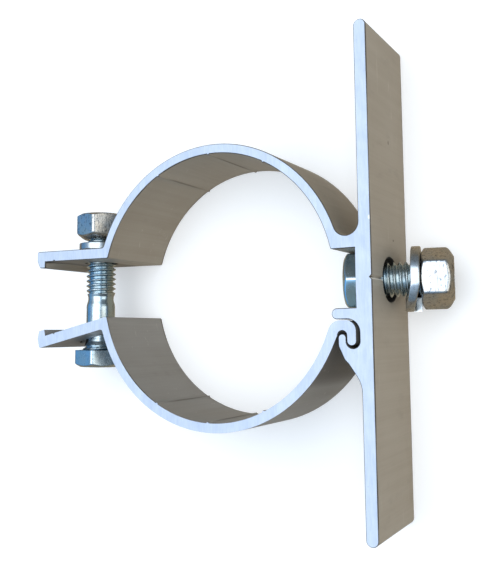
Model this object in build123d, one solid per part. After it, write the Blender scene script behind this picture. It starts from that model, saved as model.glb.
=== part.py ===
"""Hinged sign post clamp, cut from two extruded aluminium profiles.

The clamp body is one extrusion: a half ring for a round post, a long mounting plate for the sign,
a bolt slot behind the plate and a hinge socket. The swing arm is the other half ring, and its
hooked end turns in the socket. A bolt through the two flanges draws the arm in round the post,
and a second bolt, held in the slot by its hexagon head, carries the sign.

Frame in millimetres: Z is the post's axis, X points from the post to the sign, Y runs along the
plate. The origin is on the post's axis at half the width of the band.
"""

import os
from math import acos, asin, atan2, cos, degrees, radians, sin, sqrt, tan

from build123d import *

# Post, ring and band
POST_R = 38.0
RING_WALL = 2.64
BAND = 28.0
ARM_SHIFT = (0.3, 0.4)

# Fine ribs across the inside of both half rings, which bite into the post
RIB_H = 0.4
RIB_W = 0.9
BODY_RIBS = (62.1, 89.6, 117.1)
ARM_RIBS = (-64.3, -91.8, -119.3)

# Mounting plate
PLATE_GAP = 4.2
PLATE_T = 3.32
PLATE_LEN = 132.6
CENTRE_Y = 0.6
CENTRE_GROOVE_W = 1.1
CENTRE_GROOVE_DEPTH = 0.55

# Bolt slot behind the plate, and the pocket between ring and plate
SLOT_W = 15.2
SLOT_FLOOR_T = 1.07
SLOT_LIP_T = 2.8
SLOT_LIP_REACH = 7.74
SLOT_CORNER_R = 0.6
POCKET_R = 3.4

# Hinge: a round-topped finger on the body, and the arm's hook over it
HINGE_OUT = 0.131
HINGE_DROP = 4.78
HINGE_CLEAR = 0.30
FINGER_R = 1.08
HOOK_RISE = 0.65
HOOK_TOE_T = 2.32
HOOK_TOE_DROP = 0.66
HOOK_SHOULDER_R = 2.65
HOOK_BACK_R = 3.3
SOCKET_DEPTH = 4.75
SOCKET_R = 3.4
SOCKET_FLOOR_DROP = 2.62

# Back of the finger, which slopes down into the plate
FINGER_STRAIGHT = 2.0
WEB_KNEE = (0.55, -5.5)
WEB_STEP = (1.0, -1.0)
WEB_SLOPE = 34.5
WEB_FILLET = 7.5
WEB_BEND_R = 2.5

# Clamping flanges
FLANGE_T = 3.3
FLANGE_LEN = 29.2
FLANGE_LIP_H = 2.0
FLANGE_LIP_W = 3.4
FLANGE_LIP_BEVEL = 1.1
FLANGE_MARK = 22.0
FLANGE_MARK_W = 0.8
FLANGE_MARK_DEPTH = 0.35
FLANGE_EDGE_R = 0.6
FLANGE_ROOT_R = 1.0
FIXED_FLANGE_Y = 10.68
FIXED_FLANGE_TILT = 1.2
ARM_FLANGE_Y = -7.05
ARM_FLANGE_TILT = 12.2

# Both bolts have the same inch thread, 3/8 in with 16 turns to the inch
THREAD_R = 4.7625
THREAD_PITCH = 1.5875
THREAD_CLEAR = 0.05
HEX_FLATS = 14.29
HEX_CHAMFER = 30.0
HEAD_FACE_R = 6.4
HEAD_H = 5.4
NUT_H = 8.33
NUT_ROUND_FACE_R = 5.5
NUT_FLAT_FACE_R = 6.8
BOLT_POINT = 0.8

# Clamp bolt, square to the fixed flange
CLAMP_BOLT_OUT = 10.16
CLAMP_BOLT_LEN = 44.45
CLAMP_BOLT_SHANK = 14.5
CLAMP_BOLT_SHANK_R = 4.6
CLAMP_BOLT_NECK_R = 4.05
CLAMP_BOLT_NECK = 2.0
CLAMP_BOLT_ROOT_R = 5.7
CLAMP_BOLT_ROOT_H = 2.6
CLAMP_HEAD_TURN = 21.0
CLAMP_NUT_TURN = 20.0
CLAMP_WASHER_R = 7.2
CLAMP_WASHER_T = 2.3
CLAMP_WASHER_SPREAD = 0.9
CLAMP_NUT_GAP = 1.25
FIXED_HOLE_R = 5.3
ARM_HOLE_R = 5.6
ARM_HOLE_LEN = 14.4
ARM_HOLE_OFFSET = 1.2

# Sign bolt, loose in its hole, so that its outer end droops until the head rests in the slot
SIGN_DROOP = 14.0
SIGN_REST_GAP = 0.02
SIGN_BOLT_LEN = 22.2
SIGN_HOLE_R = 6.0
SIGN_HEAD_TURN = 0.0
SIGN_NUT_TURN = 30.0
SIGN_NUT_REACH = 10.2
SIGN_NUT_GAP = 0.1
SIGN_WASHER_R = 8.65
SIGN_WASHER_T = 2.4
SIGN_WASHER_SPREAD = 1.9

# What the two spring washers share: bore, slit and the start of the bent end
WASHER_BORE_CLEAR = 0.2
WASHER_SLIT = 1.4
WASHER_SLIT_SLANT = 15.0
WASHER_BEND_START = 0.15
WASHER_BEND_R = 5.0

# Places that follow from the values above
RING_OUT = POST_R + RING_WALL
PLATE_BACK = RING_OUT + PLATE_GAP
PLATE_FRONT = PLATE_BACK + PLATE_T
SLOT_FLOOR = PLATE_BACK - SLOT_FLOOR_T
SLOT_TOP = CENTRE_Y + SLOT_W / 2
SLOT_BOTTOM = CENTRE_Y - SLOT_W / 2
LIP_BOTTOM = SLOT_BOTTOM - SLOT_LIP_T
HINGE_Y = LIP_BOTTOM - HINGE_DROP
THROAT_Y = HINGE_Y + HOOK_RISE
THROAT_X = ARM_SHIFT[0] + sqrt((RING_OUT + HINGE_OUT) ** 2 - (THROAT_Y - ARM_SHIFT[1]) ** 2)
HOOK_TOP = LIP_BOTTOM - HINGE_CLEAR
HOOK_GAP_R = FINGER_R + HINGE_CLEAR
HINGE_X = THROAT_X + HOOK_GAP_R
CLAMP_BOLT_X = -RING_OUT - CLAMP_BOLT_OUT
SOCKET_WALL = HINGE_X + SOCKET_DEPTH
HEX_CORNER_R = HEX_FLATS / sqrt(3)
CLAMP_WASHER_H = CLAMP_WASHER_T + CLAMP_WASHER_SPREAD
SIGN_WASHER_H = SIGN_WASHER_T + SIGN_WASHER_SPREAD
BIG = 4 * RING_OUT


def box(x0, y0, x1, y1):
    """Rectangle between two corners."""
    return Pos((x0 + x1) / 2, (y0 + y1) / 2) * Rectangle(x1 - x0, y1 - y0)


def disc(x, y, r):
    """Full circle about a point."""
    return Pos(x, y) * Circle(r)


def outline(*points):
    """Filled polygon through the points."""
    return make_face(Polyline(*points, close=True))


def round_corner(shape, x, y, r):
    """Round the corner of a profile that lies nearest to a point."""
    return fillet(shape.vertices().sort_by_distance((x, y, 0))[0], r)


def ring_sector(x, y, start, end):
    """Half ring about a point, from one angle to the other, cut off along radii."""
    ray_start = (BIG * cos(radians(start)), BIG * sin(radians(start)))
    ray_end = (BIG * cos(radians(end)), BIG * sin(radians(end)))
    side = 1 if end > start else -1
    wedge = outline((0, 0), ray_start, (BIG, side * BIG), (-BIG, side * BIG), ray_end)
    return Pos(x, y) * ((Circle(RING_OUT) - Circle(POST_R)) & wedge)


def rib(x, y, angle):
    """V rib on the inside of a half ring about a point."""
    foot = POST_R + RIB_H
    form = outline((foot, -RIB_W), (POST_R - RIB_H, 0), (foot, RIB_W))
    return Pos(x, y) * Rot(0, 0, angle) * form


def flange_form():
    """Flange lying along +X from its root, with the gap below it and the lip at its far end."""
    lip_start = FLANGE_LEN - FLANGE_LIP_W
    form = outline(
        (0, 0),
        (FLANGE_MARK - FLANGE_MARK_W / 2, 0),
        (FLANGE_MARK, FLANGE_MARK_DEPTH),
        (FLANGE_MARK + FLANGE_MARK_W / 2, 0),
        (lip_start, 0),
        (lip_start, -FLANGE_LIP_H),
        (FLANGE_LEN - FLANGE_LIP_BEVEL, -FLANGE_LIP_H),
        (FLANGE_LEN, 2 * FLANGE_LIP_BEVEL - FLANGE_LIP_H),
        (FLANGE_LEN, FLANGE_T),
        (0, FLANGE_T),
    )
    return round_corner(form, FLANGE_LEN, FLANGE_T, FLANGE_EDGE_R)


def fixed_flange_root():
    """Where the fixed flange's lower face meets the inside of the ring."""
    return (-sqrt(POST_R**2 - FIXED_FLANGE_Y**2), FIXED_FLANGE_Y)


def arm_flange_root():
    """Where the arm flange's upper face meets the inside of the arm's ring."""
    reach = sqrt(POST_R**2 - (ARM_FLANGE_Y - ARM_SHIFT[1]) ** 2)
    return (ARM_SHIFT[0] - reach, ARM_FLANGE_Y)


def fixed_half_ring():
    """Half ring of the body with its flange."""
    root_x, root_y = fixed_flange_root()
    start = degrees(asin(SLOT_TOP / POST_R))
    ring = ring_sector(0, 0, start, degrees(atan2(root_y, root_x)))
    flange = Pos(root_x, root_y) * Rot(0, 0, -FIXED_FLANGE_TILT) * mirror(flange_form(), Plane.YZ)
    ring = round_corner(ring + flange, root_x, root_y, FLANGE_EDGE_R)
    top = root_y + FLANGE_T
    return round_corner(ring, -sqrt(RING_OUT**2 - top**2), top, FLANGE_ROOT_R)


def ring_to_plate_web():
    """Web above the bolt slot, hollowed by the round pocket between ring and plate."""
    pocket_x = PLATE_BACK - POCKET_R
    pocket_y = sqrt((RING_OUT + POCKET_R) ** 2 - pocket_x**2)
    touch = RING_OUT / (RING_OUT + POCKET_R)
    inside = (RING_OUT - RING_WALL / 2) / (RING_OUT + POCKET_R)
    web = outline(
        (sqrt(POST_R**2 - SLOT_TOP**2), SLOT_TOP),
        (PLATE_BACK, SLOT_TOP),
        (PLATE_BACK, pocket_y),
        (pocket_x, pocket_y),
        (touch * pocket_x, touch * pocket_y),
        (inside * pocket_x, inside * pocket_y),
    )
    return web - disc(pocket_x, pocket_y, POCKET_R)


def hinge_room():
    """Hollow of the socket in which the arm's hook turns."""
    corner_x = SOCKET_WALL - SOCKET_R
    corner_y = LIP_BOTTOM - SOCKET_R
    finger_side = HINGE_X + FINGER_R
    toe_r = (SOCKET_WALL - finger_side) / 2
    toe_y = HINGE_Y - SOCKET_FLOOR_DROP + toe_r
    room = box(HINGE_X - BIG, HINGE_Y, corner_x, LIP_BOTTOM)
    room += disc(corner_x, corner_y, SOCKET_R) & box(corner_x, corner_y, SOCKET_WALL, LIP_BOTTOM)
    room += box(finger_side, toe_y, SOCKET_WALL, corner_y)
    return room + disc(SOCKET_WALL - toe_r, toe_y, toe_r)


def hinge_socket():
    """Finger and socket under the bolt slot, with the web that runs down into the plate."""
    back = HINGE_X - FINGER_R
    knee = (back + WEB_KNEE[0] + FINGER_R, HINGE_Y + WEB_KNEE[1])
    step = (knee[0] + WEB_STEP[0], knee[1] + WEB_STEP[1])
    foot_y = step[1] - (PLATE_BACK - step[0]) / tan(radians(WEB_SLOPE))
    block = outline(
        (back, LIP_BOTTOM),
        (back, HINGE_Y - FINGER_STRAIGHT),
        knee,
        step,
        (PLATE_BACK, foot_y),
        (PLATE_BACK, LIP_BOTTOM),
    )
    block = round_corner(block, back, HINGE_Y - FINGER_STRAIGHT, WEB_BEND_R)
    block = round_corner(block, *knee, FINGER_R)
    block = round_corner(block, *step, FINGER_R)
    return block - hinge_room() + disc(HINGE_X, HINGE_Y, FINGER_R), foot_y


def slot_lip():
    """Lip under the bolt slot, with a round nose."""
    nose_r = SLOT_LIP_T / 2
    nose_x = PLATE_BACK - SLOT_LIP_REACH + nose_r
    return box(nose_x, LIP_BOTTOM, PLATE_BACK, SLOT_BOTTOM) + disc(nose_x, LIP_BOTTOM + nose_r, nose_r)


def plate_profile():
    """Mounting plate with round ends and the thicker floor of the bolt slot."""
    end_r = PLATE_T / 2
    middle = (PLATE_BACK + PLATE_FRONT) / 2
    straight = PLATE_LEN / 2 - end_r
    plate = box(PLATE_BACK, CENTRE_Y - straight, PLATE_FRONT, CENTRE_Y + straight)
    for end in (-straight, straight):
        plate += disc(middle, CENTRE_Y + end, end_r)
    return plate + box(SLOT_FLOOR, LIP_BOTTOM, PLATE_BACK, SLOT_TOP)


def centre_groove():
    """Shallow V that marks the middle of the plate's front face."""
    return outline(
        (PLATE_FRONT, CENTRE_Y - CENTRE_GROOVE_W / 2),
        (PLATE_FRONT - CENTRE_GROOVE_DEPTH, CENTRE_Y),
        (PLATE_FRONT, CENTRE_Y + CENTRE_GROOVE_W / 2),
    )


def body_profile():
    """Whole section of the clamp body."""
    socket, foot_y = hinge_socket()
    section = plate_profile() + fixed_half_ring() + ring_to_plate_web() + slot_lip() + socket
    section = round_corner(section, PLATE_BACK, foot_y, WEB_FILLET)
    section = round_corner(section, sqrt(POST_R**2 - SLOT_TOP**2), SLOT_TOP, SLOT_CORNER_R)
    for angle in BODY_RIBS:
        section += rib(0, 0, angle)
    return section - centre_groove()


def hook_profile():
    """Hooked end of the arm, from the inside of its ring round to the toe."""
    back_y = HOOK_TOP - HOOK_BACK_R
    reach = POST_R + HOOK_BACK_R
    back_x = ARM_SHIFT[0] + sqrt(reach**2 - (back_y - ARM_SHIFT[1]) ** 2)
    touch = POST_R / reach
    touch_x = ARM_SHIFT[0] + touch * (back_x - ARM_SHIFT[0])
    touch_y = ARM_SHIFT[1] + touch * (back_y - ARM_SHIFT[1])
    toe_in = HINGE_X + HOOK_GAP_R
    toe_out = toe_in + HOOK_TOE_T
    toe_r = HOOK_TOE_T / 2
    toe_y = HINGE_Y - HOOK_TOE_DROP
    shoulder_x = toe_out - HOOK_SHOULDER_R
    shoulder_y = HOOK_TOP - HOOK_SHOULDER_R
    turn = atan2(THROAT_Y - ARM_SHIFT[1], THROAT_X - ARM_SHIFT[0])
    tangent = turn - acos(RING_OUT / (RING_OUT + HINGE_OUT))
    heel_x = ARM_SHIFT[0] + RING_OUT * cos(tangent)
    heel_y = ARM_SHIFT[1] + RING_OUT * sin(tangent)
    middle = RING_OUT - RING_WALL / 2
    wall_x = ARM_SHIFT[0] + middle * cos(tangent)
    wall_y = ARM_SHIFT[1] + middle * sin(tangent)
    root = outline(
        (touch_x, touch_y),
        (back_x, back_y),
        (back_x, THROAT_Y),
        (THROAT_X, THROAT_Y),
        (heel_x, heel_y),
        (wall_x, wall_y),
    )
    hook = root + box(back_x, THROAT_Y, shoulder_x, HOOK_TOP)
    hook += disc(back_x, back_y, HOOK_BACK_R) & box(back_x - HOOK_BACK_R, back_y, back_x, HOOK_TOP)
    shoulder = disc(shoulder_x, shoulder_y, HOOK_SHOULDER_R)
    hook += shoulder & box(shoulder_x, shoulder_y, toe_out, HOOK_TOP)
    hook += box(shoulder_x, toe_y, toe_out, shoulder_y)
    hook -= disc(HINGE_X, THROAT_Y, HOOK_GAP_R) + box(THROAT_X, HINGE_Y - BIG, toe_in, THROAT_Y)
    return hook + disc(toe_in + toe_r, toe_y, toe_r)


def arm_profile():
    """Whole section of the swing arm."""
    root_x, root_y = arm_flange_root()
    back_y = HOOK_TOP - HOOK_BACK_R
    start = degrees(asin((back_y - ARM_SHIFT[1]) / (POST_R + HOOK_BACK_R)))
    end = degrees(atan2(root_y - ARM_SHIFT[1], root_x - ARM_SHIFT[0]))
    ring = ring_sector(*ARM_SHIFT, start, end)
    flange = Pos(root_x, root_y) * Rot(0, 0, 180 + ARM_FLANGE_TILT) * flange_form()
    section = ring + flange + hook_profile()
    section = round_corner(section, root_x, root_y, FLANGE_EDGE_R)
    below = root_y - FLANGE_T / cos(radians(ARM_FLANGE_TILT))
    outer_x = ARM_SHIFT[0] - sqrt(RING_OUT**2 - (below - ARM_SHIFT[1]) ** 2)
    section = round_corner(section, outer_x, below, FLANGE_ROOT_R)
    for angle in ARM_RIBS:
        section += rib(*ARM_SHIFT, angle)
    return section


def band_of(profile):
    """Cut length of an extrusion, centred on the middle of the band."""
    return extrude(profile, BAND / 2, both=True)


def along(x, y, direction):
    """Frame at a point on the middle of the band, whose Z runs along a direction."""
    return Plane(origin=(x, y, 0), x_dir=(0, 0, 1), z_dir=direction).location


def clamp_axis():
    """Direction of the clamp bolt, from its head to its nut."""
    tilt = radians(FIXED_FLANGE_TILT)
    return (sin(tilt), cos(tilt), 0)


def clamp_seat(height):
    """Frame on the clamp bolt's axis, at a height above the fixed flange."""
    root_x, root_y = fixed_flange_root()
    tilt = radians(FIXED_FLANGE_TILT)
    top_y = root_y + (root_x - CLAMP_BOLT_X) * tan(tilt) + FLANGE_T / cos(tilt)
    axis = clamp_axis()
    return along(CLAMP_BOLT_X + height * axis[0], top_y + height * axis[1], axis)


def clamp_head_height():
    """Height of the clamp bolt head's bearing face over the fixed flange: it ends at the nut."""
    return CLAMP_WASHER_H + CLAMP_NUT_GAP + NUT_H - CLAMP_BOLT_LEN


def arm_hole():
    """Slotted hole through the arm's flange, long enough for the arm's swing."""
    seat = clamp_seat(0)
    root_x, root_y = arm_flange_root()
    tilt = radians(ARM_FLANGE_TILT)
    centre_x = seat.position.X - ARM_HOLE_OFFSET
    centre_y = root_y - (root_x - centre_x) * tan(tilt)
    slot = SlotOverall(ARM_HOLE_LEN, 2 * ARM_HOLE_R)
    slope = (cos(tilt), sin(tilt), 0)
    frame = Plane(origin=(centre_x, centre_y, 0), x_dir=slope, z_dir=(-sin(tilt), cos(tilt), 0))
    return extrude(frame.location * slot, 2 * FLANGE_T, both=True)


def clamp_body():
    """Plate, half ring, bolt slot, hinge socket and flange, with the two bolt holes."""
    body = band_of(body_profile())
    body -= along(PLATE_BACK, CENTRE_Y, (1, 0, 0)) * Cylinder(SIGN_HOLE_R, 4 * PLATE_T)
    return body - clamp_seat(0) * Cylinder(FIXED_HOLE_R, 4 * FLANGE_T)


def swing_arm():
    """Other half ring, with its hook, its flange and the slotted hole."""
    return band_of(arm_profile()) - arm_hole()


def hex_form(height, turn, top_face_r, bottom_face_r=None):
    """Hexagon prism standing on Z = 0, with one or both ends chamfered down to a round face."""
    prism = extrude(RegularPolygon(HEX_FLATS / 2, 6, major_radius=False, rotation=turn), height)
    corner = HEX_CORNER_R + 1
    slope = tan(radians(HEX_CHAMFER))
    if bottom_face_r is None:
        low = [(corner, 0)]
    else:
        low = [(bottom_face_r, 0), (corner, (corner - bottom_face_r) * slope)]
    high = [(corner, height - (corner - top_face_r) * slope), (top_face_r, height)]
    points = [(0, 0), *low, *high, (0, height)]
    section = make_face(Polyline(*[(r, 0, z) for r, z in points], close=True))
    return prism & revolve(section, Axis.Z)


def hex_head(turn):
    """Bolt head below Z = 0, with its chamfered end down."""
    return Rot(180, 0, 0) * hex_form(HEAD_H, -turn, HEAD_FACE_R)


def hex_nut(turn, top_face_r, bottom_face_r):
    """Nut standing on Z = 0, bored to run on the thread. One end is chamfered more than the other."""
    bore = Cylinder(THREAD_R + THREAD_CLEAR, 4 * NUT_H)
    return hex_form(NUT_H, turn, top_face_r, bottom_face_r) - bore


def spring_washer(outer_r, thick, spread):
    """Split washer standing on Z = 0 on its bent end, with its slanting slit towards +Y."""
    top = thick + spread
    bend = WASHER_BEND_START * outer_r
    side = outline(
        (-outer_r, spread),
        (bend, spread),
        (outer_r, 0),
        (outer_r, thick),
        (bend, top),
        (-outer_r, top),
    )
    side = round_corner(side, bend, spread, WASHER_BEND_R)
    side = round_corner(side, bend, top, WASHER_BEND_R)
    bent_half = Plane.YZ.location * extrude(side, outer_r)
    flat_half = Pos(-outer_r / 2, 0, spread + thick / 2) * Box(outer_r, 2 * outer_r, thick)
    ring = extrude(Circle(outer_r) - Circle(THREAD_R + WASHER_BORE_CLEAR), top)
    slit = Rot(0, WASHER_SLIT_SLANT, 0) * Box(WASHER_SLIT, 2 * outer_r, 4 * top)
    return ring & (bent_half + flat_half) - Pos(0, outer_r, top / 2) * slit


def turned(*points):
    """Solid turned about Z from a half section, given as radius and height."""
    return revolve(make_face(Polyline(*[(r, 0, z) for r, z in points], close=True)), Axis.Z)


def clamp_bolt():
    """Bolt through the two flanges: head below, plain shank, neck, then thread."""
    neck = CLAMP_BOLT_SHANK + CLAMP_BOLT_NECK
    start = neck + THREAD_R - CLAMP_BOLT_NECK_R
    shank = turned(
        (0, -HEAD_H / 2),
        (CLAMP_BOLT_ROOT_R, -HEAD_H / 2),
        (CLAMP_BOLT_ROOT_R, 0),
        (CLAMP_BOLT_SHANK_R, CLAMP_BOLT_ROOT_H),
        (CLAMP_BOLT_SHANK_R, CLAMP_BOLT_SHANK),
        (CLAMP_BOLT_NECK_R, neck),
        (THREAD_R, start),
        (THREAD_R, CLAMP_BOLT_LEN - BOLT_POINT),
        (THREAD_R - BOLT_POINT, CLAMP_BOLT_LEN),
        (0, CLAMP_BOLT_LEN),
    )
    return clamp_seat(clamp_head_height()) * (shank + hex_head(CLAMP_HEAD_TURN))


def clamp_washer():
    """Small spring washer on the fixed flange, its slit on the far side from the hinge socket."""
    return clamp_seat(0) * Rot(0, 0, 90) * spring_washer(CLAMP_WASHER_R, CLAMP_WASHER_T, CLAMP_WASHER_SPREAD)


def clamp_nut():
    """Nut over the washer, its rounder end down, run on until the bolt's end is level with it."""
    nut = hex_nut(CLAMP_NUT_TURN, NUT_FLAT_FACE_R, NUT_ROUND_FACE_R)
    return clamp_seat(CLAMP_WASHER_H + CLAMP_NUT_GAP) * nut


def sign_seat(reach):
    """Frame on the drooping sign bolt's axis, at a distance outwards from the middle of its hole."""
    tilt = radians(SIGN_DROOP)
    middle = (SLOT_FLOOR + PLATE_FRONT) / 2
    origin = (middle + reach * cos(tilt), CENTRE_Y, -reach * sin(tilt))
    return Plane(origin=origin, x_dir=(sin(tilt), 0, cos(tilt)), z_dir=(cos(tilt), 0, -sin(tilt))).location


def sign_head_reach():
    """Distance from the hole to the head's bearing face, whose upper corner rests on the slot's floor."""
    tilt = radians(SIGN_DROOP)
    half_floor = (PLATE_FRONT - SLOT_FLOOR) / 2
    return -(half_floor + SIGN_REST_GAP + HEX_CORNER_R * sin(tilt)) / cos(tilt)


def sign_bolt():
    """Bolt whose head the slot keeps from turning, threaded all the way."""
    shank = turned(
        (0, -HEAD_H / 2),
        (THREAD_R, -HEAD_H / 2),
        (THREAD_R, SIGN_BOLT_LEN - BOLT_POINT),
        (THREAD_R - BOLT_POINT, SIGN_BOLT_LEN),
        (0, SIGN_BOLT_LEN),
    )
    return sign_seat(sign_head_reach()) * (shank + hex_head(SIGN_HEAD_TURN))


def sign_washer():
    """Wide spring washer, loose on the sign bolt inside the nut, with its slit downwards."""
    seat = sign_seat(SIGN_NUT_REACH - SIGN_NUT_GAP - SIGN_WASHER_H)
    return seat * spring_washer(SIGN_WASHER_R, SIGN_WASHER_T, SIGN_WASHER_SPREAD)


def sign_nut():
    """Nut on the outer end of the sign bolt, its rounder end outwards."""
    return sign_seat(SIGN_NUT_REACH) * hex_nut(SIGN_NUT_TURN, NUT_ROUND_FACE_R, NUT_FLAT_FACE_R)


os.makedirs("parts", exist_ok=True)
clamp_side = (clamp_body, swing_arm, clamp_bolt, clamp_washer, clamp_nut)
sign_side = (sign_bolt, sign_washer, sign_nut)
for make in clamp_side + sign_side:
    export_step(make(), f"parts/{make.__name__}.step")
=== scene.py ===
from math import cos, radians, sin, sqrt, tan

import bmesh
import bpy
import numpy as np
from mathutils import Euler, Matrix, Vector


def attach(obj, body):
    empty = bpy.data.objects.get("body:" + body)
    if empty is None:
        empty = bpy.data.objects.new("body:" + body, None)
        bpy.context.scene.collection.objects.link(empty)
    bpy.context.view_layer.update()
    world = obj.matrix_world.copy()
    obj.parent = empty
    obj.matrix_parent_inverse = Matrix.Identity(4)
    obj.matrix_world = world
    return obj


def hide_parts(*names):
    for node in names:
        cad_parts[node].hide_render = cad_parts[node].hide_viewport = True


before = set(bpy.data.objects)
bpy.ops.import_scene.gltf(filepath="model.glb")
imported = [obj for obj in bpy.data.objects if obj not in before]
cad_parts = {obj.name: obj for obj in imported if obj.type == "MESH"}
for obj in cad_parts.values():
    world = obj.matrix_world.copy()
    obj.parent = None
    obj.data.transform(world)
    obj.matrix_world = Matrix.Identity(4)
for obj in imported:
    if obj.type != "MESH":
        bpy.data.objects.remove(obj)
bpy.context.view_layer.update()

# Clamp body and swing arm: two lengths sawn from aluminium extrusions. Their long sides keep the
# fine lines that the die draws along the post's axis, and their sawn ends are bright and bare.
# Each piece is the CAD solid itself, with its edges broken as a quick pass with a file leaves them.
MM = 0.001
EDGE_BREAK = 0.2 * MM
BREAK_ANGLE = radians(50)
CREASE_ANGLE = radians(25)
FLAT_ANGLE = radians(0.4)
MERGE_WITHIN = 1e-7
CENTRE_Y = 0.6
HOLE_Y = CENTRE_Y * MM
HOLE_R = 6.0
GROOVE_HALF_W = 0.55 * MM
RIB_TIP_R = 37.6
RIB_SHADOW = (0.45, 0.45)
BODY_RIBS = (62.1, 89.6, 117.1)
ARM_RIBS = (-64.3, -91.8, -119.3)
ARM_SHIFT = (0.3, 0.4)
# Centre and reach, in mm, of the painted shade in the crevice outside the ring.
HOLLOW_SHADE = ((36.0, -20.0), (9, 9))
DENTS = (((37.66, -1.2), (0.6, 0.5)), ((11.3, -3.1), (0.3, 0.6)))
NICK = ((15.57, 47.9), (0.6, 0.35))


class Wire:
    """A shader socket in arithmetic: each operator adds the Math node that it stands for."""

    def __init__(self, finish, socket):
        self.finish = finish
        self.socket = socket

    def math(self, operation, *others):
        return self.finish.node("Math", {"operation": operation}, dict(enumerate((self, *others))))

    def __add__(self, other):
        return self.math("ADD", other)

    def __mul__(self, other):
        return self.math("MULTIPLY", other)

    def __sub__(self, other):
        return self.math("SUBTRACT", other)

    def __rsub__(self, other):
        return (self * -1) + other

    def __abs__(self):
        return self.math("ABSOLUTE")

    __radd__ = __add__
    __rmul__ = __mul__

    def rise(self, low, high):
        """0 below low, 1 above high, and a smooth step between them."""
        settings = {"interpolation_type": "SMOOTHSTEP"}
        return self.finish.node("MapRange", settings, {0: self, 1: low, 2: high})

    def part(self, axis):
        """One of the three numbers of a vector, by its place."""
        return self.finish.node("SeparateXYZ", {}, {0: self}, axis)


class Finish:
    """A material or a surround whose nodes are made one call at a time."""

    def __init__(self, owner, shader="Principled BSDF"):
        self.owner = owner
        self.owner.use_nodes = True
        self.tree = owner.node_tree
        self.shader = self.tree.nodes[shader]

    def node(self, kind, settings, values, out=0):
        """A node of a kind, with its settings first, then its sockets' values or links."""
        made = self.tree.nodes.new("ShaderNode" + kind)
        for key, value in settings.items():
            setattr(made, key, value)
        self.connect(made, values)
        return Wire(self, made.outputs[out])

    def connect(self, made, values):
        for key, value in values.items():
            if isinstance(value, Wire):
                self.tree.links.new(value.socket, made.inputs[key])
            else:
                made.inputs[key].default_value = value

    def place(self, scale=(1, 1, 1), turn=(0, 0, 0)):
        """Object coordinates, turned and stretched."""
        return self.node("Mapping", {}, {0: self.coordinates("Object"), 2: turn, 3: scale})

    def coordinates(self, which):
        return self.node("TexCoord", {}, {}, which)

    def noise(self, where, scale, detail=2.0, rough=0.5):
        values = {"Vector": where, "Scale": scale, "Detail": detail, "Roughness": rough}
        return self.node("TexNoise", {}, values)

    def mix(self, how_much, first, second):
        """Blend of two colours."""
        return self.node("Mix", {"data_type": "RGBA"}, {0: how_much, 6: first, 7: second}, 2)

    def bump(self, height, strength, distance):
        return self.node("Bump", {}, {"Strength": strength, "Distance": distance, "Height": height})

    def shade(self, **values):
        self.connect(self.shader, {key.replace("_", " "): value for key, value in values.items()})
        return self.owner


def squared(wire):
    return wire * wire


def spot(first, second, middle, reach):
    """1 inside a small ellipse about a point given by two of its coordinates, and 0 outside it."""
    along = (first - middle[0] * MM) * (1 / (reach[0] * MM))
    across = (second - middle[1] * MM) * (1 / (reach[1] * MM))
    return (squared(along) + squared(across)).rise(1.4, 0.3)


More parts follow.
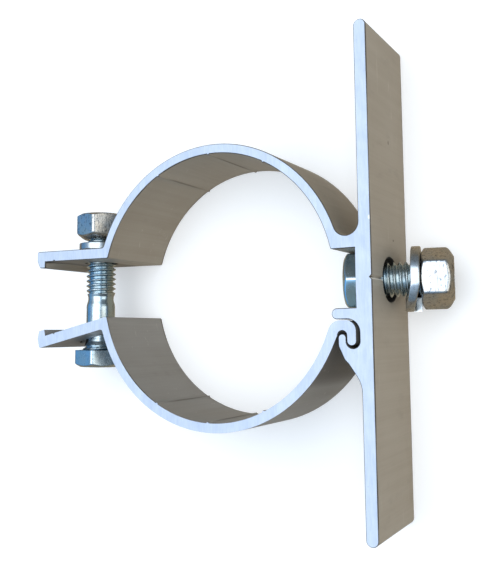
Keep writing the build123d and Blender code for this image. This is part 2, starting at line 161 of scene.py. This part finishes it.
def extruded_aluminium(name, warm, cool, sawn_turn, ribs, centre):
    """Mill finish: sides with die lines along Z and their wear, and sawn faces that look along Z."""
    f = Finish(bpy.data.materials.new(name))
    upward = abs(f.coordinates("Normal").part(2))
    facing = upward.rise(0.55, 0.8)
    edge = upward.rise(0.12, 0.3) * upward.rise(0.985, 0.93)
    lines = f.noise(f.place((1, 1, 0.012)), 2600, 3, 0.65)
    streaks = f.noise(f.place((1, 1, 0.03)), 420, 3, 0.6)
    clouds = f.noise(f.place(), 60, 4, 0.55)
    stains = f.noise(f.place((1, 1, 0.5)), 190, 5, 0.6).rise(0.56, 0.75)
    scratch = f.noise(f.place((1, 0.06, 1), (0.5, 0.9, 0.4)), 700, 3, 0.6).rise(0.66, 0.74)
    saw = f.noise(f.place((1, 0.12, 1), (0, 0, sawn_turn)), 1500, 4, 0.7)
    saw_wide = f.noise(f.place((1, 0.6, 1), (0, 0, sawn_turn + 0.06)), 240, 4, 0.65)
    pits = f.noise(f.place(), 1500, 2, 0.5).rise(0.66, 0.78)
    side = f.mix(streaks.rise(0.3, 0.7) * 0.25 + clouds * 0.75, warm, cool)
    side = f.mix(stains * 0.18, side, (0.17, 0.155, 0.13, 1))
    side = f.mix(lines.rise(0.35, 0.75) * 0.07, side, (0.62, 0.60, 0.56, 1))
    side = f.mix(scratch * 0.25, side, (0.72, 0.70, 0.66, 1))
    sawn = (saw * 0.5 + saw_wide * 0.5).rise(0.24, 0.76)
    # The sawn faces' pale blue is partly the bare metal's own colour and partly a painted reflection
    # of the blue sky above.
    cut = f.mix(sawn, (0.46, 0.53, 0.66, 1), (0.63, 0.69, 0.79, 1))
    cut = f.mix(pits * 0.35, cut, (0.30, 0.34, 0.42, 1))
    x, y, z = (f.coordinates("Object").part(axis) for axis in range(3))
    # Painted shade inside the bolt's hole through the plate: its wall is darkened where the bore lies
    # in shade.
    hole_shade = ((squared(y - HOLE_Y) + squared(z)) * 1e6).rise(38.5, HOLE_R**2) * x.rise(0.0430, 0.0435)
    side = f.mix(hole_shade * x.rise(0.0470, 0.0478) * 0.7, side, (0.05, 0.06, 0.055, 1))
    for angle in ribs:
        tip_x, tip_y = RIB_TIP_R * cos(radians(angle)), RIB_TIP_R * sin(radians(angle))
        shadow = spot(x, y, (centre[0] + tip_x, centre[1] + tip_y), RIB_SHADOW)
        shadow = shadow * abs(z).rise(0.013, 0.003) * (0.2 + clouds * 0.6)
        side = f.mix(shadow, side, (0.09, 0.085, 0.075, 1))
    # Painted shade: the sides are darkened in the crevice outside the ring near the hinge, and on the
    # undersides that face -Y beyond x = -44 mm, where shade falls.
    from_centre = squared(x - centre[0] * MM) + squared(y - centre[1] * MM)
    hollow_shade = spot(x, y, *HOLLOW_SHADE) * (from_centre * 1e6).rise(39.4**2, 40.2**2)
    under = f.coordinates("Normal").part(1).rise(-0.6, -0.95) * x.rise(-0.044, -0.047)
    side = f.mix(hollow_shade * 0.6 + under * 0.5, side, (0.05, 0.045, 0.045, 1))
    # Darker band on the side faces along each sawn end, broken up by the clouds noise.
    dark_end_band = abs(z).rise(0.0132, 0.0139) * clouds.rise(0.38, 0.6)
    side = f.mix(dark_end_band * 0.85, side, (0.06, 0.05, 0.04, 1))
    # Painted highlight: the flank of the plate's groove that faces +Y is lightened, as if it caught
    # the light.
    groove_highlight = abs(y - HOLE_Y + GROOVE_HALF_W / 2).rise(0.00045, 0.0003) * x.rise(0.0476, 0.0479)
    groove_highlight = groove_highlight * f.coordinates("Normal").part(1).rise(0.3, 0.5)
    side = f.mix(groove_highlight * 0.8, side, (0.85, 0.84, 0.80, 1))
    dents = (spot(y, z, *DENTS[0]) + spot(y, z, *DENTS[1])) * x.rise(0.0478, 0.0480)
    side = f.mix(dents * 0.6, side, (0.10, 0.09, 0.07, 1))
    cut = f.mix(spot(y, x, *NICK), cut, (0.95, 0.96, 0.98, 1))
    height = (lines * 0.35 + streaks * 0.2 + scratch * -0.5 + dents * -2) * (1 - facing)
    height = height + (saw * 0.8 + pits * -0.5) * facing
    dirt = edge * (0.55 + clouds * 0.8)
    return f.shade(
        Base_Color=f.mix(dirt, f.mix(facing, side, cut), (0.06, 0.055, 0.05, 1)),
        Metallic=0.45 - facing * 0.25,
        Roughness=0.44 + clouds * 0.16 + facing * 0.08 - scratch * 0.1,
        Normal=f.bump(height, 0.35, 0.00006),
    )


def dressed_solid(node, name, body, material):
    """Copy of a CAD solid with its triangles joined into whole faces and its sharp edges broken."""
    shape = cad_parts[node].data.copy()
    shape.name = name
    form = bmesh.new()
    form.from_mesh(shape)
    bmesh.ops.remove_doubles(form, verts=form.verts, dist=MERGE_WITHIN)
    bmesh.ops.dissolve_limit(
        form, angle_limit=FLAT_ANGLE, verts=form.verts, edges=form.edges, delimit=set()
    )
    form.to_mesh(shape)
    form.free()
    shape.materials.clear()
    shape.materials.append(material)
    shape.shade_smooth()
    shape.set_sharp_from_angle(angle=CREASE_ANGLE)
    piece = bpy.data.objects.new(name, shape)
    bpy.context.scene.collection.objects.link(piece)
    broken = piece.modifiers.new("broken edges", "BEVEL")
    broken.width = EDGE_BREAK
    broken.segments = 2
    broken.limit_method = "ANGLE"
    broken.angle_limit = BREAK_ANGLE
    broken.use_clamp_overlap = True
    broken.harden_normals = False
    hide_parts(node)
    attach(piece, body)
    return piece


body_warm, body_cool = (0.345, 0.30, 0.24, 1), (0.445, 0.405, 0.34, 1)
arm_warm, arm_cool = (0.285, 0.275, 0.255, 1), (0.375, 0.37, 0.36, 1)
body_metal = extruded_aluminium("mill finish body", body_warm, body_cool, 0.35, BODY_RIBS, (0, 0))
arm_metal = extruded_aluminium("mill finish arm", arm_warm, arm_cool, -0.5, ARM_RIBS, ARM_SHIFT)
dressed_solid("clamp_body", "clamp_body_sawn", "base", body_metal)
dressed_solid("swing_arm", "swing_arm_sawn", "arm", arm_metal)

# Clamp bolt: cold-formed zinc plated steel, its hexagon head below the arm's flange. The thread is
# rolled, so it stands as wide as the shank and runs out into a thinner neck under it.
THREAD_R = 4.7625
PITCH = 1.5875
THREAD_DEPTH = 0.93
HEX_FLATS = 14.29
HEX_CHAMFER = 30.0
HEX_EASE = 0.85
HEAD_FACE_R = 6.4
NUT_ROUND_FACE_R = 5.5
NUT_FLAT_FACE_R = 6.8
HEAD_H = 5.4
NUT_H = 8.33
ROUND_STEPS = 180
ROWS_A_PITCH = 14
TURNED_CREASE = radians(68)
POST_R = 38.0
FLANGE_Y = 10.68
FLANGE_T = 3.3
CLAMP_TILT = radians(1.2)
CLAMP_AXIS = (sin(CLAMP_TILT), cos(CLAMP_TILT), 0)
CLAMP_ROOT_X = -sqrt(POST_R**2 - FLANGE_Y**2)
CLAMP_X = -50.8
CLAMP_TOP_Y = FLANGE_Y + (CLAMP_ROOT_X - CLAMP_X) * tan(CLAMP_TILT) + FLANGE_T / cos(CLAMP_TILT)
CLAMP_WASHER = (7.2, 2.3, 0.9)
CLAMP_NUT_AT = CLAMP_WASHER[1] + CLAMP_WASHER[2] + 1.25
CLAMP_BOLT_LEN = 44.45
CLAMP_HEAD_TURN = 21
CLAMP_THREAD_FROM = 17.2
CLAMP_PHASE = 0.2
ANGLES = np.linspace(0, 2 * np.pi, ROUND_STEPS, endpoint=False)
HEX_CORNER_CUT = 0.12


def seat(origin, x_dir, z_dir):
    """Frame of a turned piece: its own X and Z in the row's frame, as a matrix in millimetres."""
    z = Vector(z_dir).normalized()
    x = Vector(x_dir).normalized()
    y = z.cross(x)
    return Matrix.Translation(origin) @ Matrix((x, y, z)).transposed().to_4x4()


def clamp_seat(height):
    """Frame on the clamp bolt's axis, at a height over the fixed flange."""
    at = (CLAMP_X + height * CLAMP_AXIS[0], CLAMP_TOP_Y + height * CLAMP_AXIS[1], 0)
    return seat(at, (0, 0, 1), CLAMP_AXIS)


def soft_min(a, b, width):
    """The smaller of two arrays, rounded over where they are within a width of each other."""
    near = np.clip(0.5 + 0.5 * (b - a) / width, 0, 1)
    return b * (1 - near) + a * near - width * near * (1 - near)


def hexagon(turn):
    """Radius at each angle: half the width over the cosine from a flat, eased at the corners."""
    from_flat = (ANGLES - radians(turn)) % (np.pi / 3) - np.pi / 6
    return soft_min(HEX_FLATS / 2 / np.cos(from_flat), HEX_FLATS / sqrt(3) - HEX_CORNER_CUT, 0.3)


def thread_radius(z, phase):
    """Radius over height and angle: a wave of one pitch, flat at its crest, that turns once round."""
    u = (z[:, None] / PITCH - ANGLES[None, :] / (2 * np.pi) + phase) % 1
    fall = np.clip((np.abs(2 * u - 1) - 0.14) / 0.70, 0, 1)
    return THREAD_R - THREAD_DEPTH * fall


def rings_of(radius, z):
    """Rings of points from radii over height and angle, and one height for each ring."""
    radius = np.broadcast_to(radius, (len(z), ROUND_STEPS))
    height = np.broadcast_to(z[:, None], radius.shape)
    return np.stack((radius * np.cos(ANGLES), radius * np.sin(ANGLES), height), 2)


def shell(name, rings, looped, place, material):
    """Skin over rings of points: a hose joined end to end where looped, else closed at two poles."""
    count, steps = rings.shape[:2]
    points = rings.reshape(-1, 3)
    rows = np.arange(count if looped else count - 1)
    i, j = np.meshgrid(rows, np.arange(steps), indexing="ij")
    up, along = (i + 1) % count, (j + 1) % steps
    quads = np.stack((i * steps + j, i * steps + along, up * steps + along, up * steps + j), 2)
    quads = quads.reshape(-1, 4).tolist()
    if not looped:
        ends = np.array((rings[0].mean(0), rings[-1].mean(0)))
        first, last = len(points), len(points) + 1
        points = np.concatenate((points, ends))
        k = np.arange(steps)
        quads += np.stack((np.full(steps, first), (k + 1) % steps, k), 1).tolist()
        top = (count - 1) * steps
        quads += np.stack((np.full(steps, last), top + k, top + (k + 1) % steps), 1).tolist()
    return solid(name, points, quads, place, material)


def solid(name, points, faces, place, material):
    """Mesh object from points in millimetres in a frame, its faces turned outwards."""
    turn = np.array(place.to_3x3())
    world = (points @ turn.T + np.array(place.translation)) * MM
    shape = bpy.data.meshes.new(name)
    shape.from_pydata(world.tolist(), [], faces)
    form = bmesh.new()
    form.from_mesh(shape)
    bmesh.ops.remove_doubles(form, verts=form.verts, dist=MERGE_WITHIN)
    bmesh.ops.recalc_face_normals(form, faces=form.faces)
    form.to_mesh(shape)
    form.free()
    shape.shade_smooth()
    shape.set_sharp_from_angle(angle=TURNED_CREASE)
    shape.materials.append(material)
    piece = bpy.data.objects.new(name, shape)
    bpy.context.scene.collection.objects.link(piece)
    return piece


def fitted(piece, node, body):
    """Lets a piece stand for a CAD node by hiding the node, and puts the piece on its body."""
    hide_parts(node)
    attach(piece, body)
    return piece


def hex_sides(height, turn, top_face_r, low_face_r=20.0):
    """Rings up a hexagon: its flats cut at each end by the cone that ends at the round face.

    The cut is eased the more, the further the cone reaches in.
    """
    slope = 1 / tan(radians(HEX_CHAMFER))
    end = np.linspace(0, 1.9, 20)
    z = np.concatenate((end, np.linspace(2.2, height - 2.2, 5), height - end[::-1]))
    radius = np.broadcast_to(hexagon(turn), (len(z), ROUND_STEPS))
    top_ease, low_ease = (HEX_EASE * max(HEX_FLATS / 2 - r, 0.1) for r in (top_face_r, low_face_r))
    radius = soft_min(radius, (top_face_r + (height - z) * slope)[:, None], top_ease)
    return soft_min(radius, (low_face_r + z * slope)[:, None], low_ease), z


def flat_rings(radii, z):
    """Rings of growing or shrinking radius in one plane."""
    radii = np.asarray(radii, float)
    return rings_of(radii[:, None], np.full(len(radii), float(z)))


def bolt_rings(head_turn, profile, thread_from, phase):
    """Rings from the head's end face to the tip: hexagon, bearing face, profile and its thread."""
    radius, z = hex_sides(HEAD_H, head_turn, HEAD_FACE_R)
    head = rings_of(radius[::-1], -z[::-1])
    end = flat_rings((2.0, 4.0, 5.6, 6.2), -HEAD_H)
    neck_r = profile[0][0]
    under_r = np.linspace(0.97, 0.0, 5)[:, None] * (hexagon(head_turn) - neck_r) + neck_r
    under = rings_of(under_r, np.zeros(5))
    heights = [p[1] for p in profile]
    length = heights[-1]
    rows = np.linspace(0, length, int(length / PITCH * ROWS_A_PITCH))
    z = np.unique(np.concatenate((rows, heights)))
    turned = np.interp(z, heights, [p[0] for p in profile])[:, None]
    run_out = (thread_from - 0.01, thread_from, thread_from + PITCH)
    uncut = np.interp(z, run_out, (1, 0.75, 0))[:, None]
    cut = np.minimum(turned, thread_radius(z, phase) + uncut * THREAD_DEPTH)
    shank = rings_of(cut, z)
    tip = flat_rings((3.4, 2.4, 1.2), length)
    return np.concatenate((end, head, under, shank, tip))


def zinc_plate(name, cool, warm, rough, relief, worn):
    """Bright zinc with faint blue and straw patches and small dull marks, and a painted blue
    reflection on the lower half of the sign bolt's head in the slot.
    """
    f = Finish(bpy.data.materials.new(name))
    patches = f.noise(f.place(), 170, 3, 0.5)
    grain = f.noise(f.place(), 2600, 3, 0.6)
    smear = f.noise(f.place((1, 0.3, 1), (0.4, 0.2, 0.7)), 520, 4, 0.6)
    marks = f.noise(f.place((1, 0.5, 1), (0.2, 0.6, 0.9)), 520, 5, 0.7).rise(0.54, 0.78)
    scratch = f.noise(f.place((1, 0.03, 1), (0.3, 1.1, 0.5)), 1400, 2, 0.5).rise(0.64, 0.70)
    tint = f.mix(patches.rise(0.35, 0.65), cool, warm)
    mottle = f.noise(f.place((1, 0.6, 1), (0.3, 0.7, 0.1)), 1600, 4, 0.65).rise(0.52, 0.68)
    tint = f.mix(mottle * worn, tint, (0.09, 0.11, 0.14, 1))
    x, y = (f.coordinates("Object").part(axis) for axis in range(2))
    # Painted reflection: the lower half of the sign bolt's head inside the slot is tinted bright blue,
    # as if it mirrored the blue surround.
    blue_reflection = x.rise(0.030, 0.036) * x.rise(0.0445, 0.0435) * y.rise(0.0008, 0.0002)
    tint = f.mix(blue_reflection, tint, (0.56, 0.82, 1.0, 1))
    tint = f.mix(marks * 0.6 + scratch * 0.35, tint, (0.15, 0.16, 0.17, 1))
    return f.shade(
        Base_Color=tint,
        Metallic=1.0,
        Roughness=rough + patches * 0.10 + marks * 0.16 + smear.rise(0.4, 0.8) * 0.10,
        Normal=f.bump(grain * 0.4 + smear * 0.8 + marks * -0.4 + scratch * -0.5, relief, 0.00008),
    )


bolt_tints = (0.44, 0.57, 0.66, 1), (0.50, 0.56, 0.57, 1)
bolt_zinc = zinc_plate("zinc plated bolts", *bolt_tints, 0.15, 0.05, 0.25)
clamp_head_at = CLAMP_NUT_AT + NUT_H - CLAMP_BOLT_LEN
clamp_profile = (
    (5.7, 0.0),
    (5.45, 0.9),
    (4.95, 1.9),
    (4.66, 2.9),
    (4.6, 4.0),
    (4.6, 14.2),
    (4.5, 14.9),
    (4.2, 15.9),
    (4.08, 16.5),
    (4.14, 17.4),
    (4.6, 18.6),
    (THREAD_R, 20.2),
    (THREAD_R, CLAMP_BOLT_LEN - 0.8),
    (THREAD_R - 0.8, CLAMP_BOLT_LEN),
)
clamp_bolt = shell(
    "clamp_bolt_threaded",
    bolt_rings(CLAMP_HEAD_TURN, clamp_profile, CLAMP_THREAD_FROM, CLAMP_PHASE),
    False,
    clamp_seat(clamp_head_at),
    bolt_zinc,
)
fitted(clamp_bolt, "clamp_bolt", "clamp_bolt")

# Clamp nut: zinc plated hexagon nut, chamfered at both ends and tapped right through. Its thread
# lies in the bolt's own grooves, and the bore is countersunk at each mouth.
CLAMP_NUT_TURN = 20
THREAD_GAP = 0.05
BORE_MIN = 3.97


def nut_rings(turn, top_face_r, low_face_r, thread_at, phase):
    """Rings round a nut's section: bottom face, flats, top face and down through the tapped bore."""
    radius, z = hex_sides(NUT_H, turn, top_face_r, low_face_r)
    sides = rings_of(radius, z)
    mouth = THREAD_R + THREAD_GAP
    low = flat_rings((mouth, 5.0, low_face_r - 0.3), 0)
    high = flat_rings((top_face_r - 0.3, 5.0, mouth), NUT_H)
    z = np.linspace(NUT_H - 0.02, 0.02, int(NUT_H / PITCH * ROWS_A_PITCH))
    near_end = np.minimum(z, NUT_H - z)
    bore = np.maximum(thread_radius(z + thread_at, phase) + THREAD_GAP, BORE_MIN)
    bore = np.clip(np.maximum(bore, (mouth - near_end)[:, None]), 0, mouth)
    return np.concatenate((low, sides, high, rings_of(bore, z)))


nut_tints = (0.46, 0.50, 0.54, 1), (0.57, 0.55, 0.51, 1)
nut_zinc = zinc_plate("zinc plated nuts", *nut_tints, 0.19, 0.32, 0.85)
clamp_nut_depth = CLAMP_BOLT_LEN - NUT_H
clamp_nut = shell(
    "clamp_nut_tapped",
    nut_rings(CLAMP_NUT_TURN, NUT_FLAT_FACE_R, NUT_ROUND_FACE_R, clamp_nut_depth, CLAMP_PHASE),
    True,
    clamp_seat(CLAMP_NUT_AT),
    nut_zinc,
)
fitted(clamp_nut, "clamp_nut", "clamp_nut")

# Clamp washer: a split spring washer of square wire on the fixed flange, zinc plated. One end is
# sprung down, and the two ends stand apart at the slanting slit.
WASHER_BORE_R = THREAD_R + 0.2
WASHER_SLIT = 1.4
WASHER_SLANT = 15.0
WASHER_CORNER = 0.32


def washer_mesh(name, outer_r, thick, spread, place, material):
    """Rounded rectangle carried round from slit edge to slit edge, sinking towards one of them."""
    top = thick + spread
    across, up = (outer_r - WASHER_BORE_R) / 2 - WASHER_CORNER, thick / 2 - WASHER_CORNER
    turn = np.linspace(0, 2 * np.pi, 40, endpoint=False)
    sx = np.clip(np.cos(turn) * 3, -1, 1) * across + np.cos(turn) * WASHER_CORNER
    sy = np.clip(np.sin(turn) * 3, -1, 1) * up + np.sin(turn) * WASHER_CORNER
    radius = (outer_r + WASHER_BORE_R) / 2 + sx
    half_slit = WASHER_SLIT / 2 / outer_r
    theta = np.pi / 2 + np.linspace(half_slit * 1.05, 2 * np.pi - half_slit * 1.05, 150)
    side = np.cos(theta) > 0
    reach = np.clip((np.sin(theta) - 0.15) / 0.85, 0, 1)
    drop = np.where(side, spread * reach**1.35, 0.0)
    height = spread + thick / 2 + sy[None, :] - drop[:, None]
    lean = -np.tan(radians(WASHER_SLANT)) * (height - top / 2) / outer_r
    near_slit = np.clip(1 - np.abs(np.sin((theta - np.pi / 2) / 2)) * 4, 0, 1)[:, None]
    angle = theta[:, None] + lean * near_slit
    points = np.stack((radius[None, :] * np.cos(angle), radius[None, :] * np.sin(angle), height), 2)
    count, steps = points.shape[:2]
    i, j = np.meshgrid(np.arange(count - 1), np.arange(steps), indexing="ij")
    here, following, along = i * steps, (i + 1) * steps, (j + 1) % steps
    faces = np.stack((here + j, here + along, following + along, following + j), 2)
    faces = faces.reshape(-1, 4).tolist()
    faces.append(list(range(steps)))
    faces.append(list(range((count - 1) * steps, count * steps)))
    return solid(name, points.reshape(-1, 3), faces, place, material)


washer_tints = (0.44, 0.50, 0.56, 1), (0.54, 0.53, 0.50, 1)
washer_zinc = zinc_plate("zinc plated washers", *washer_tints, 0.17, 0.20, 0.4)
washer_seat = clamp_seat(0) @ Matrix.Rotation(radians(90), 4, "Z")
clamp_washer = washer_mesh("clamp_washer_sprung", *CLAMP_WASHER, washer_seat, washer_zinc)
fitted(clamp_washer, "clamp_washer", "base")

# Sign bolt, washer and nut: a fully threaded bolt whose head the slot holds, hanging loose in its
# hole, with a wide spring washer sprung open under the nut. All are zinc plated.
SIGN_TILT = radians(14)
PLATE_FRONT_X = 48.16
PLATE_BACK_X = 43.77
SIGN_MIDDLE = (PLATE_FRONT_X + PLATE_BACK_X) / 2
SIGN_NUT_AT = 10.2
SIGN_WASHER = (8.65, 2.4, 1.9)
SIGN_BOLT_LEN = 22.2
SIGN_HEAD_TURN = 0
SIGN_NUT_TURN = 30
SIGN_PHASE = 0.6


def sign_seat(reach):
    """Frame on the drooping bolt's axis, at a distance outwards from the middle of its hole."""
    at = (SIGN_MIDDLE + reach * cos(SIGN_TILT), CENTRE_Y, -reach * sin(SIGN_TILT))
    return seat(at, (sin(SIGN_TILT), 0, cos(SIGN_TILT)), (cos(SIGN_TILT), 0, -sin(SIGN_TILT)))


sign_head_lean = HEX_FLATS / sqrt(3) * sin(SIGN_TILT)
sign_head_at = -((PLATE_FRONT_X - PLATE_BACK_X) / 2 + 0.02 + sign_head_lean) / cos(SIGN_TILT)
sign_profile = ((THREAD_R, 0.0), (THREAD_R, SIGN_BOLT_LEN - 0.8), (THREAD_R - 0.8, SIGN_BOLT_LEN))
sign_bolt = shell(
    "sign_bolt_threaded",
    bolt_rings(SIGN_HEAD_TURN, sign_profile, 0.0, SIGN_PHASE),
    False,
    sign_seat(sign_head_at),
    bolt_zinc,
)
fitted(sign_bolt, "sign_bolt", "sign_bolt")
sign_washer_at = SIGN_NUT_AT - 0.1 - SIGN_WASHER[1] - SIGN_WASHER[2]
sign_washer_seat = sign_seat(sign_washer_at)
sign_washer = washer_mesh("sign_washer_sprung", *SIGN_WASHER, sign_washer_seat, washer_zinc)
fitted(sign_washer, "sign_washer", "sign_washer")
sign_nut_depth = SIGN_NUT_AT - sign_head_at
sign_nut = shell(
    "sign_nut_tapped",
    nut_rings(SIGN_NUT_TURN, NUT_ROUND_FACE_R, NUT_FLAT_FACE_R, sign_nut_depth, SIGN_PHASE),
    True,
    sign_seat(SIGN_NUT_AT),
    nut_zinc,
)
fitted(sign_nut, "sign_nut", "sign_nut")

# Studio: a white card that glows faintly under the clamp and stays out of its mirror reflections, a
# large soft light overhead, a weaker one to the side, and a dim warm surround that the metal
# reflects. The camera stands where the photographer's did, at a place in metres and turned by degrees
# about X, Y and Z.
FLOOR_Z = -14.0 * MM
FLOOR_HALF = 3.0
SENSOR = 36.0
FOCAL_PX = 755.973
IMAGE_HIGH_PX = 568
CAMERA_AT = (0.11434, -0.01408, 0.19188)
CAMERA_TURN = (3.5491, 29.6510, -1.0166)


def studio_floor():
    """Flat square of matt white card, lit a little from within."""
    f = Finish(bpy.data.materials.new("white card"))
    fibres = f.noise(f.place(), 300, 3, 0.6)
    card = f.shade(
        Base_Color=f.mix(fibres * 0.4, (0.70, 0.70, 0.70, 1), (0.73, 0.73, 0.73, 1)),
        Roughness=0.9,
        Metallic=0.0,
        Emission_Color=(1.0, 0.99, 0.98, 1),
        Emission_Strength=0.34,
    )
    shape = bpy.data.meshes.new("floor")
    corners = ((-1, -1), (1, -1), (1, 1), (-1, 1))
    corners = [(x * FLOOR_HALF, y * FLOOR_HALF, FLOOR_Z) for x, y in corners]
    shape.from_pydata(corners, [], [(0, 1, 2, 3)])
    shape.materials.append(card)
    piece = bpy.data.objects.new("floor", shape)
    piece.visible_glossy = False
    bpy.context.scene.collection.objects.link(piece)


def soft_light(name, at, aim, size, power, colour):
    """Square area light at a place, looking at a point."""
    data = bpy.data.lights.new(name, "AREA")
    data.shape = "SQUARE"
    data.size = size
    data.energy = power
    data.color = colour
    lamp = bpy.data.objects.new(name, data)
    lamp.location = at
    lamp.rotation_euler = (Vector(aim) - Vector(at)).to_track_quat("-Z", "Y").to_euler()
    bpy.context.scene.collection.objects.link(lamp)


studio_floor()
soft_light("overhead", (0.0, 0.15, 1.1), (0, 0, 0), 1.3, 11.4, (0.98, 0.985, 1.0))
soft_light("side fill", (1.1, -0.1, 0.45), (0, 0, 0), 0.9, 4.2, (1.0, 0.95, 0.86))


def studio_air():
    """Surround by height: warm and dim below, blue and grey at the sides, pale above, white to see."""
    world = bpy.data.worlds.new("studio air")
    bpy.context.scene.world = world
    f = Finish(world, "Background")
    way = f.coordinates("Generated")
    height, across = way.part(2), way.part(0) + way.part(1) * 0.45
    low = f.mix(height.rise(-0.3, 0.05), (0.44, 0.365, 0.26, 1), (0.19, 0.185, 0.17, 1))
    side = f.mix(across.rise(-0.95, 0.0), (0.20, 0.50, 0.90, 1), (0.26, 0.29, 0.31, 1))
    middle = f.mix(height.rise(-0.05, 0.25), low, side)
    sky = f.mix(height.rise(0.44, 0.88), middle, (0.64, 0.82, 1.0, 1))
    seen = f.node("LightPath", {}, {}, "Is Camera Ray")
    f.shade(Color=f.mix(seen, sky, (1.0, 1.0, 1.0, 1)), Strength=0.9)


studio_air()
camera_data = bpy.data.cameras.new("camera")
camera_data.sensor_width = SENSOR
camera_data.lens = FOCAL_PX / IMAGE_HIGH_PX * SENSOR
camera_data.clip_start = 0.01
camera = bpy.data.objects.new("camera", camera_data)
camera_turn = Euler([radians(angle) for angle in CAMERA_TURN])
camera.matrix_world = Matrix.LocRotScale(Vector(CAMERA_AT), camera_turn, None)
bpy.context.scene.collection.objects.link(camera)
bpy.context.scene.camera = camera
bpy.context.scene.view_settings.view_transform = "Standard"
